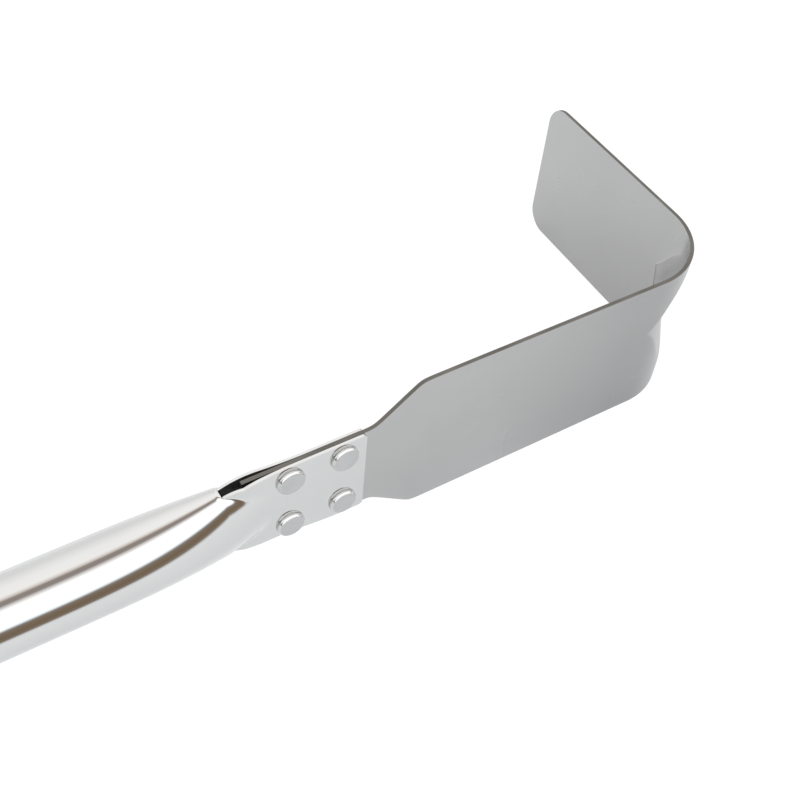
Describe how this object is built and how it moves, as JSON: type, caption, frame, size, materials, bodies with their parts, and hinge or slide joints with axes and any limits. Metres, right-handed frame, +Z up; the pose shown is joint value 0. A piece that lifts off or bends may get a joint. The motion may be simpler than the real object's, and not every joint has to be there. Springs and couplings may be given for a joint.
{
  "type": "long handled scraper",
  "caption": "Long-handled scraper: a round tube handle pressed flat and riveted to a wide sheet blade bent into an L-shaped hoe.",
  "frame": {"origin": "centre of the bounding box's bottom, on the surface that the blade's lower edge stands on", "axes": "+X along the handle towards the blade, +Y the way the hoe points, +Z up across the blade's width"},
  "size_m": [0.7722, 0.1218, 0.0635],
  "materials": {
    "tube_steel": "mirror polished stainless steel",
    "blade_steel": "satin rolled stainless sheet with fine scuffs",
    "rivet_steel": "satin flat heads with polished edges",
    "cap_plastic": "fine moulded texture"
  },
  "bodies": {
    "root": {"handle_tube": "tube_steel", "blade": "blade_steel", "rivet_upper_rear": "rivet_steel", "rivet_upper_front": "rivet_steel", "rivet_lower_rear": "rivet_steel", "rivet_lower_front": "rivet_steel", "end_cap": "cap_plastic"}
  },
  "joints": []
}
